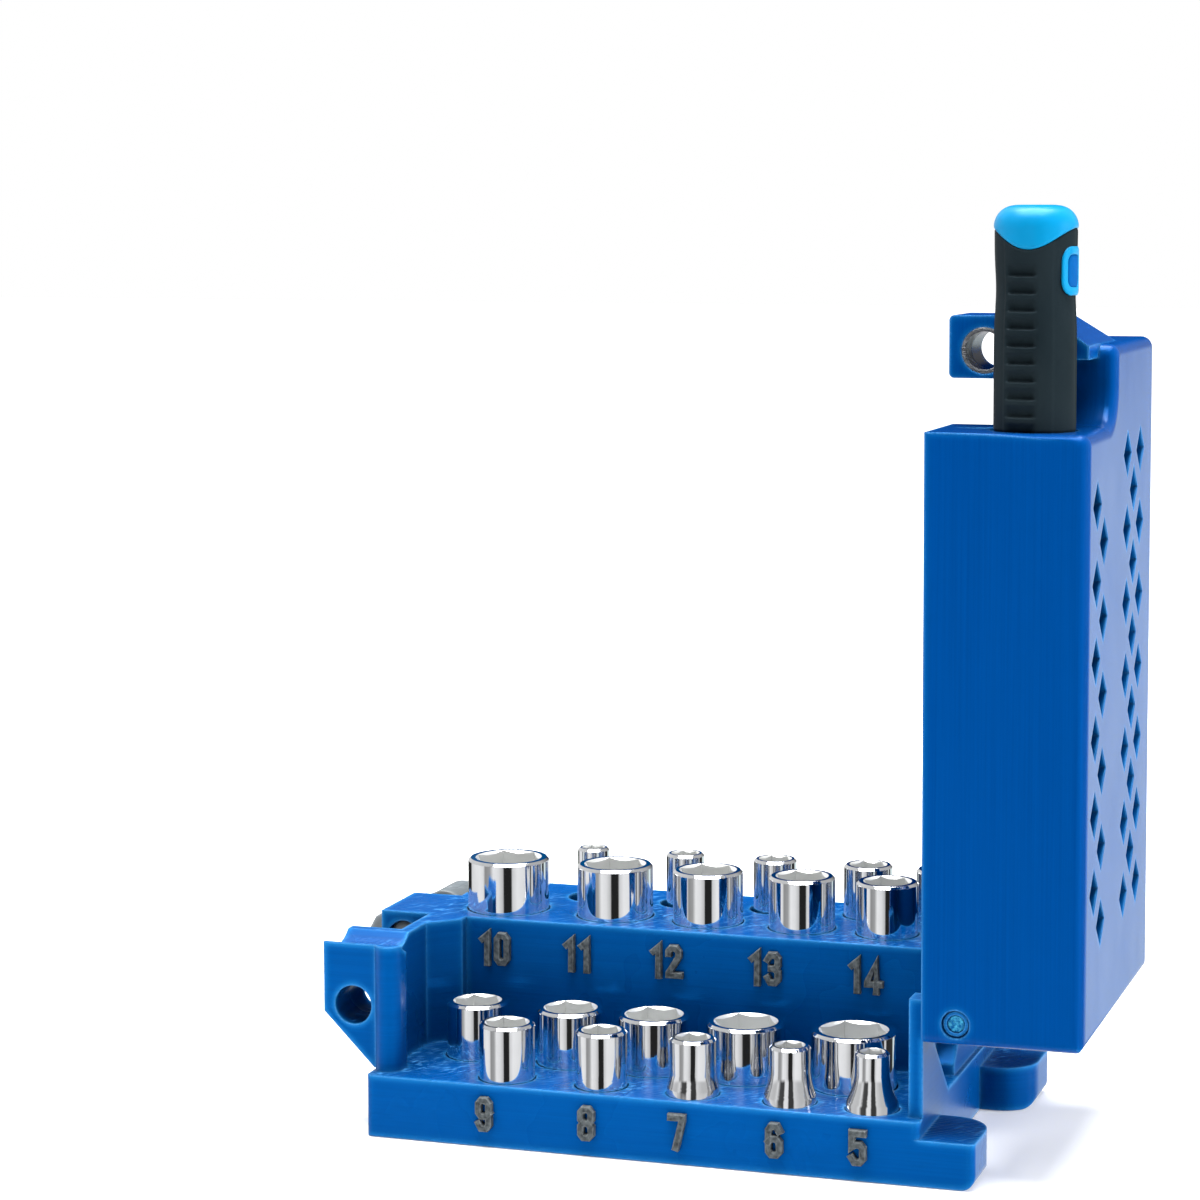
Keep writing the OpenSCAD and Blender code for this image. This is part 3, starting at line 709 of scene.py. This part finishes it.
def on_wall(point):
    """Whether a point lies on the case's outer wall, in plan: front, back, far side or the round corners."""
    dx = point.x - (CASE_HI.x - CASE_CORNER)
    dy = max(point.y - (CASE_HI.y - CASE_CORNER), CASE_LO.y + CASE_CORNER - point.y)
    if min(dx, dy) > SAME:
        return abs(math.hypot(dx, dy) - CASE_CORNER) < SAME_ON_CORNER
    return abs(dx - CASE_CORNER) < SAME or abs(dy - CASE_CORNER) < SAME


def outer_edges(work, crown):
    """The case's outer edges to round over: its upper outline away from the tray, or all the others."""
    chosen = []
    for edge in work.edges:
        if len(edge.link_faces) != 2 or edge.calc_face_angle(0.0) < LEAST_ANGLE:
            continue
        ends = [v.co for v in edge.verts]
        outer = all(on_wall(p) for p in ends)
        away = all(p.x > CASE_HI.x - CASE_CORNER - SAME for p in ends)
        above = all(p.z > LOW_TOP - SAME for p in ends)
        if crown:
            wanted = outer and away and above
        else:
            back = all(abs(p.y - CASE_HI.y) < SAME for p in ends)
            side = back or all(abs(p.y - CASE_LO.y) < SAME for p in ends)
            upright = side and all(abs(p.x - CASE_LO.x) < SAME for p in ends)
            tops = outer and above and not away and not back
            base = outer and all(p.z < CASE_LO.z + SAME for p in ends)
            lid = back and all(p.z > HIGH_TOP - 0.1 * MM for p in ends)
            wanted = upright or tops or base or lid
        if wanted:
            chosen.append(edge)
    return chosen


def add_rounded_case():
    """The case with its outer edges rounded over, which the CAD solid leaves sharp."""
    work, finish = copy_of("case", "rounded_case")
    bmesh.ops.dissolve_limit(work, angle_limit=FLAT_ANGLE, verts=work.verts, edges=work.edges)
    for face in work.faces:
        # Walls that lean in both Y and Z, as the diamonds' do, take the darker painted-shade material
        if abs(face.normal.x) < 0.05 and min(abs(face.normal.y), abs(face.normal.z)) > 0.4:
            face.material_index = 1
    for crown, offset, steps in ((True, CASE_CROWN, CROWN_STEPS), (False, CASE_ROUND, ROUND_STEPS)):
        bmesh.ops.bevel(work, geom=outer_edges(work, crown), offset=offset, offset_type="OFFSET",
                        segments=steps, profile=0.5, affect="EDGES", clamp_overlap=False)
    piece = finish("case", "blue_plastic", CASE_SHARP)
    piece.data.materials.clear()
    piece.data.materials.append(CASE_BLUE)
    piece.data.materials.append(HOLE_SHADE_BLUE)
    weigh = piece.modifiers.new("even_shading", "WEIGHTED_NORMAL")
    weigh.keep_sharp = True


# Handle: one turned form, r(angle, height), cut into a soft grip and a hard cap
GRIP_X = (GRIP_LO.x + GRIP_HI.x) / 2
GRIP_Y = (GRIP_LO.y + GRIP_HI.y) / 2
GRIP_R = (GRIP_HI.x - GRIP_LO.x) / 2
CAP_TOP = CORE_HI.z
TURNS = 160
ANGLES = [k * TAU / TURNS for k in range(TURNS)]

# Boundary of grip and cap: how far it lies under the top, and the height of its two waves
EDGE_DOWN = 0.0071
EDGE_WAVE = 0.0023
EDGE_RIPPLE = 0.0002

# Finger grooves: where they start, their pitch, number, depth and turn, shares of the pitch where
# the ledge and the roof end, the roof's power, and half their width and its soft end in radians
GROOVE_LOW = 0.1664
GROOVE_PITCH = 0.0038
GROOVES = 10
GROOVE_DEEP = 0.0015
GROOVE_TURN = math.radians(-10)
LEDGE_SHARE = 0.07
ROOF_SHARE = 0.7
ROOF_POWER = 0.8
GROOVE_HALF = 0.42
GROOVE_SOFT = 0.16

# Grip: how far it stays inside its node, the side panels' start and soft start in radians and
# their depth, half the ridge down their middle, and the neck's place under the top, reach and depth
SLEEVE_IN = 0.00012
PANEL_FROM = 0.62
PANEL_SOFT = 0.05
PANEL_DEEP = 0.00018
RIDGE_HALF = 0.05
NECK_DOWN = 0.0185
NECK_LONG = 0.006
NECK_DEEP = 0.0004

# Sleeve: height and depth of its foot's cone and of its upper edge's round, its bore, how far its
# inner edge lies lower, how far under the top its rows end, and the rows' steps
CONE_H, CONE_DEEP = 0.0024, 0.0016
LIP_H, LIP_DEEP = 0.0006, 0.0003
SLEEVE_BORE = 0.0057
INNER_LOWER = 0.0002
ROWS_END = 0.0045
FINE_FROM = LOW_TOP - 0.0005
FINE_STEP, COARSE_STEP = 0.00019, 0.0005

# Cap: how far it stays inside its node and over the boundary, its dome's height, its rows of points
# and the share of them below the dome, the flat share of its top, the dome's power, the round of its
# lower edge, and the core's radius
CAP_IN = 0.0001
CAP_OVER = 0.00005
DOME_H = 0.0049
CAP_ROWS = 30
WALL_ROWS_SHARE = 0.3
FLAT_SHARE = 0.34
DOME_POWER = 0.75
CAP_LIP_H, CAP_LIP_DEEP = 0.0005, 0.00025
CORE_R = 0.0056


def wrap(a):
    return (a + math.pi) % TAU - math.pi


def cap_edge(a):
    """Height of the boundary of grip and cap; it dips at the front and the back."""
    return CAP_TOP - EDGE_DOWN - EDGE_WAVE * math.cos(2 * a) - EDGE_RIPPLE * math.cos(4 * a)


def groove_at(a, z):
    """Depth of the finger grooves, each with a level ledge under a sloping roof, front and back."""
    step = (z - GROOVE_LOW) / GROOVE_PITCH
    if step < 0 or step >= GROOVES:
        return 0.0
    part = step - math.floor(step)
    if part < LEDGE_SHARE:
        shape = part / LEDGE_SHARE
    elif part < ROOF_SHARE:
        shape = ((ROOF_SHARE - part) / (ROOF_SHARE - LEDGE_SHARE)) ** ROOF_POWER
    else:
        return 0.0
    off = min(abs(wrap(a - middle)) for middle in (GROOVE_TURN, GROOVE_TURN + math.pi))
    side = clamp((GROOVE_HALF - off) / GROOVE_SOFT)
    return GROOVE_DEEP * shape * side * side * (3 - 2 * side)


def grip_radius(a, z):
    r = GRIP_R - SLEEVE_IN
    # Smooth thumb panels at the sides, a hair lower, with a thin ridge left down their middle
    off = min(abs(wrap(a)), abs(wrap(a - math.pi)))
    from_middle = abs(wrap(2 * a - math.pi)) / 2
    if off > PANEL_FROM:
        r -= PANEL_DEEP * clamp((off - PANEL_FROM) / PANEL_SOFT) * clamp(from_middle / RIDGE_HALF)
    # Waist of the neck under the cap
    r -= NECK_DEEP * math.exp(-((z - (CAP_TOP - NECK_DOWN)) / NECK_LONG) ** 2)
    return r - groove_at(a, z)


def point_at(a, r, z):
    """Angle 0 faces the front (-Y) and grows towards +X."""
    return (GRIP_X + r * math.sin(a), GRIP_Y - r * math.cos(a), z)


def add_grip():
    """Soft sleeve of the handle, whose rows of points are clipped at the wavy edge under the cap."""
    low = GRIP_LO.z
    heights = []
    z = low
    while z < CAP_TOP - ROWS_END:
        heights.append(z)
        z += FINE_STEP if z > FINE_FROM else COARSE_STEP
    verts, faces = [], []
    for z in heights:
        for a in ANGLES:
            top = cap_edge(a)
            height = min(z, top)
            cone = CONE_DEEP * max(0.0, 1 - (height - low) / CONE_H)
            lip = LIP_DEEP * max(0.0, 1 - (top - height) / LIP_H) ** 2
            verts.append(point_at(a, grip_radius(a, height) - cone - lip, height))
    for i in range(len(heights) - 1):
        join_rows(faces, i * TURNS, (i + 1) * TURNS, TURNS)
    # Close both ends with an inner wall against the core
    inner_low = len(verts)
    verts += [point_at(a, SLEEVE_BORE, low) for a in ANGLES]
    inner_top = len(verts)
    verts += [point_at(a, SLEEVE_BORE, cap_edge(a) - INNER_LOWER) for a in ANGLES]
    join_rows(faces, 0, inner_low, TURNS)
    join_rows(faces, inner_low - TURNS, inner_top, TURNS)
    join_rows(faces, inner_low, inner_top, TURNS)
    piece = mesh_piece("grip_sleeve", verts, faces, RUBBER, "handle")
    clean_up(piece)
    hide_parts("handle_grip")


def add_cap():
    """Hard core with its domed cap; a shallow step meets the sleeve at the wavy edge."""
    verts, faces = [], []
    r_full = GRIP_R - CAP_IN
    dome_low = CAP_TOP - DOME_H
    for i in range(CAP_ROWS + 1):
        share = i / CAP_ROWS
        for a in ANGLES:
            base = cap_edge(a) + CAP_OVER
            if share < WALL_ROWS_SHARE:
                z = base + (dome_low - base) * share / WALL_ROWS_SHARE
                r = r_full
            else:
                turn = (share - WALL_ROWS_SHARE) / (1 - WALL_ROWS_SHARE) * math.pi / 2
                z = dome_low + DOME_H * math.sin(turn)
                r = r_full * (FLAT_SHARE + (1 - FLAT_SHARE) * clamp(math.cos(turn)) ** DOME_POWER)
            lip = CAP_LIP_DEEP * max(0.0, 1 - (z - base) / CAP_LIP_H) ** 2
            verts.append(point_at(a, r - lip, z))
    for i in range(CAP_ROWS):
        join_rows(faces, i * TURNS, (i + 1) * TURNS, TURNS)
    crown = len(verts)
    verts.append((GRIP_X, GRIP_Y, CAP_TOP))
    close_row(faces, CAP_ROWS * TURNS, crown, TURNS)
    rim = len(verts)
    verts += [point_at(a, CORE_R, cap_edge(a)) for a in ANGLES]
    foot = len(verts)
    verts += [point_at(a, CORE_R, CORE_LO.z) for a in ANGLES]
    bottom = len(verts)
    verts.append((GRIP_X, GRIP_Y, CORE_LO.z))
    join_rows(faces, 0, rim, TURNS)
    join_rows(faces, rim, foot, TURNS)
    close_row(faces, foot, bottom, TURNS)
    piece = mesh_piece("grip_cap", verts, faces, CYAN, "handle")
    clean_up(piece)
    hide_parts("handle_core")


# Ring in the grip's side: its middle's angle and distance under the top, the points of a corner, and
# the sections of its frame and of its inset, each with half its width, half its height, its corner,
# and its height over the node's radius
RING_TURN = math.radians(78)
RING_DOWN = 0.0142
CORNER_POINTS = 10
FRAME_SECTIONS = (
    (0.0046, 0.0053, 0.0032, -0.00056),
    (0.0046, 0.0053, 0.0032, -0.000157),
    (0.0043, 0.0050, 0.0029, -0.000027),
    (0.0031, 0.0038, 0.0019, -0.000027),
    (0.0028, 0.0035, 0.0016, -0.000235),
    (0.0028, 0.0035, 0.0016, -0.00056),
)
INSET_SECTIONS = (
    (0.00285, 0.00355, 0.0016, -0.0011),
    (0.00285, 0.00355, 0.0016, -0.00032),
    (0.0022, 0.0029, 0.0012, -0.00017),
)


def rounded_rect(half_w, half_h, r):
    points = []
    for turn, (side_x, side_y) in enumerate(((1, 1), (-1, 1), (-1, -1), (1, -1))):
        for i in range(CORNER_POINTS):
            a = math.radians(90 * (turn + i / (CORNER_POINTS - 1)))
            points.append((side_x * (half_w - r) + r * math.cos(a), side_y * (half_h - r) + r * math.sin(a)))
    return points


def add_ring(name, middle):
    """Rounded frame in the side of the grip near the cap, with a sunk inset."""
    mid_z = CAP_TOP - RING_DOWN
    count = 4 * CORNER_POINTS

    def rows(sections):
        """The sections laid round the grip, one row of points each, and the faces between them."""
        verts, faces = [], []
        for i, (half_w, half_h, corner, lift) in enumerate(sections):
            for u, v in rounded_rect(half_w, half_h, corner):
                verts.append(point_at(middle + u / GRIP_R, GRIP_R + lift, mid_z + v))
            if i:
                join_rows(faces, (i - 1) * count, i * count, count)
        return verts, faces

    verts, faces = rows(FRAME_SECTIONS)
    join_rows(faces, len(verts) - count, 0, count)
    mesh_piece(name, verts, faces, CYAN, "handle")
    verts, faces = rows(INSET_SECTIONS)
    for row, section in ((len(verts) - count, INSET_SECTIONS[-1]), (0, INSET_SECTIONS[0])):
        close_row(faces, row, len(verts), count)
        verts.append(point_at(middle, GRIP_R + section[-1], mid_z))
    mesh_piece(name + "_inset", verts, faces, INSET, "handle")


# Ends of the hinge pins: width of the rim round the hollow, the hollow's depth, how far the rough
# face stands over its floor and its back lies under it, the noise's cells a metre, height and step
# from end to end, and the rows of points
PIN_RIM = 0.0008
PIN_HOLLOW = 0.0005
PIN_FACE_OUT = 0.00022
PIN_FACE_IN = 0.0002
PIN_CELLS = 2600
PIN_ROUGH = 0.00014
PIN_SEED = 3
PIN_RINGS, PIN_TURNS = 9, 36


def add_pin_end(side):
    """Rough face in the hollow of a hinge pin's end, at the front where side is -1."""
    where = "front" if side < 0 else "rear"
    lo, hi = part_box(f"hinge_pin_{where}")
    x, z = (lo.x + hi.x) / 2, (lo.z + hi.z) / 2
    reach = (hi.x - lo.x) / 2 - PIN_RIM
    floor = (lo.y if side < 0 else hi.y) - side * PIN_HOLLOW
    verts, faces = [], []
    for i in range(PIN_RINGS + 1):
        r = reach * (1 - i / PIN_RINGS)
        for k in range(PIN_TURNS):
            a = k * TAU / PIN_TURNS
            dx, dz = r * math.cos(a), r * math.sin(a)
            rough = noise.noise(Vector((dx * PIN_CELLS, dz * PIN_CELLS, side * PIN_SEED))) * PIN_ROUGH
            lift = PIN_FACE_OUT + rough if i else -PIN_FACE_IN
            verts.append((x + dx, floor + side * lift, z + dz))
    for i in range(PIN_RINGS):
        join_rows(faces, i * PIN_TURNS, (i + 1) * PIN_TURNS, PIN_TURNS)
    close_row(faces, 0, len(verts), PIN_TURNS)
    verts.append((x, floor - side * PIN_FACE_IN, z))
    piece = mesh_piece(f"pin_end_{where}", verts, faces, PIN_END, "tray")
    clean_up(piece)


# Floor: half its side, its gap under the object, and the distances from the origin between which
# it fades to white, from that share of white
FLOOR_HALF = 6.0
FLOOR_GAP = 0.0002
FADE_FROM, FADE_TO = 0.12, 0.7
FADE_SHARE = 0.26

# Lamps: place, the point that it is aimed at, side, watts, and whether gloss shows it
LAMPS = {
    "overhead": ((0.0, 0.0, 1.3), (0.02, 0, 0.08), 1.1, 48, True),
    "front_left": ((-0.35, -0.5, 0.62), (0.08, -0.04, 0.17), 0.35, 1.45, False),
    "right_side": ((1.3, 0.1, 0.3), (0.08, 0, 0.05), 0.7, 23, False),
}

# The world's strength on the object, and the rise of a direction, as its Z, from which and to which
# the lower ring of bands turns into the upper one
WORLD_SOFT = 0.5
BLEND_LOW, BLEND_HIGH = -0.09, 0.03

# What gloss sees all round: degrees from the front, and the grey or colour there, at and below
# the level, and above it
PALE_BLUE = (0.86, 1.0, 1.0)
PALER_BLUE = (0.9, 1.0, 1.0)
NAVY = (0.0, 0.02, 0.1)
LIGHTER_NAVY = (0.0, 0.02, 0.12)
DEEP_BLUE = (0.0, 0.1, 0.3)
LOW_BANDS = (
    (-180, 1.0), (-146, 0.95), (-142, 0.03), (-112, 0.02), (-108, 0.85), (-70, 1.0), (-56, 0.9), (-50, 0.32),
    (-34, 0.42), (-24, 1.0), (-8, 0.9), (5, 0.6), (7, 0.02), (28, 0.02), (31, 0.75), (45, 1.0), (80, 0.9),
    (84, 0.02), (102, 0.03), (104, 0.85), (108, 0.85), (111, 0.03), (138, 0.04), (143, PALE_BLUE),
    (180, PALER_BLUE),
)
HIGH_BANDS = (
    (-180, NAVY), (-166, LIGHTER_NAVY), (-158, DEEP_BLUE), (-152, 0.6), (-140, 0.8), (-60, 0.6), (-46, 0.85),
    (-34, 0.08), (-14, 0.06), (-9, 0.95), (6, 0.9), (10, 0.05), (30, 0.05), (35, 0.8), (60, 0.6), (150, 0.5),
    (180, 0.1),
)


def add_floor():
    """White floor that keeps the object's shadow and fades to white away from it."""
    t = Tree("floor_white", (0.82, 0.83, 0.84), 0.9, level=0.1)
    far = t.vector("LENGTH", t.place)
    fade = t.spread(far, FADE_FROM, FADE_TO, FADE_SHARE, 1.0, interpolation_type="SMOOTHSTEP")
    glow = t.add("Emission")
    t.fill(glow.inputs["Color"], (1, 1, 1))
    t.fill(glow.inputs["Strength"], t.times(t.add("LightPath").outputs["Is Camera Ray"], fade))
    both = t.add("AddShader")
    t.fill(both.inputs[0], t.shader.outputs[0])
    t.fill(both.inputs[1], glow.outputs[0])
    t.fill(t.nodes["Material Output"].inputs["Surface"], both.outputs[0])

    corners = [(x * FLOOR_HALF, y * FLOOR_HALF, 0) for x, y in ((-1, -1), (1, -1), (1, 1), (-1, 1))]
    mesh = bpy.data.meshes.new("floor")
    mesh.from_pydata(corners, [], [(0, 1, 2, 3)])
    mesh.materials.append(t.mat)
    floor = bpy.data.objects.new("floor", mesh)
    floor.location.z = min(CAD_BOX[0][2], 0.0) - FLOOR_GAP
    bpy.context.collection.objects.link(floor)
    floor.visible_glossy = False


def add_lamps():
    for name, (place, aim, side, watts, mirrored) in LAMPS.items():
        data = bpy.data.lights.new(name, "AREA")
        data.shape = "RECTANGLE"
        data.size, data.size_y = side, side
        data.energy = watts
        light = bpy.data.objects.new(name, data)
        light.location = place
        light.rotation_euler = (Vector(aim) - Vector(place)).to_track_quat("-Z", "Y").to_euler()
        bpy.context.collection.objects.link(light)
        light.visible_glossy = mirrored


def add_world():
    """A world that is white to the camera and softer on the object, with bands that only gloss sees."""
    world = bpy.data.worlds.new("studio")
    bpy.context.scene.world = world
    world.use_nodes = True
    g = Graph(world.node_tree)
    g.nodes.clear()
    way = g.add("TexCoord").outputs["Generated"]
    angle = g.math("ARCTAN2", g.coordinate(way, 0), g.times(g.coordinate(way, 1), -1.0))
    turn = g.math("ADD", g.math("DIVIDE", angle, TAU), 0.5)

    def bands(stops):
        node = g.add("ValToRGB")
        g.fill(node.inputs["Fac"], turn)
        ramp = node.color_ramp
        while len(ramp.elements) < len(stops):
            ramp.elements.new(0.5)
        for element, (degrees, bright) in zip(ramp.elements, stops):
            element.position = (degrees + 180) / 360
            tone = bright if isinstance(bright, tuple) else (bright, bright, bright)
            element.color = (*tone, 1)
        return node.outputs["Color"]

    def background(colour, strength):
        node = g.add("Background")
        g.fill(node.inputs["Color"], colour)
        g.fill(node.inputs["Strength"], strength)
        return node.outputs[0]

    def choose(share, a, b):
        node = g.add("MixShader")
        for socket, value in zip(node.inputs, (share, a, b)):
            g.fill(socket, value)
        return node.outputs[0]

    rise = g.spread(g.coordinate(way, 2), BLEND_LOW, BLEND_HIGH)
    gloss = background(g.mix(rise, bands(LOW_BANDS), bands(HIGH_BANDS)), 1.0)
    path = g.add("LightPath").outputs
    shown = choose(path["Is Glossy Ray"], background((1, 1, 1), WORLD_SOFT), gloss)
    plain = g.math("MAXIMUM", path["Is Camera Ray"], path["Is Transmission Ray"])
    out = g.add("OutputWorld")
    g.fill(out.inputs["Surface"], choose(plain, shown, background((1, 1, 1), 1.0)))


add_camera()
dress_nodes()
for small in FLARE_TOP_SHARES:
    add_flared(small)
add_rounded_case()
add_figures()
add_grip()
add_cap()
add_ring("side_ring", RING_TURN)
add_pin_end(-1)
add_pin_end(1)
add_floor()
add_lamps()
add_world()
bpy.context.scene.view_settings.view_transform = "Standard"
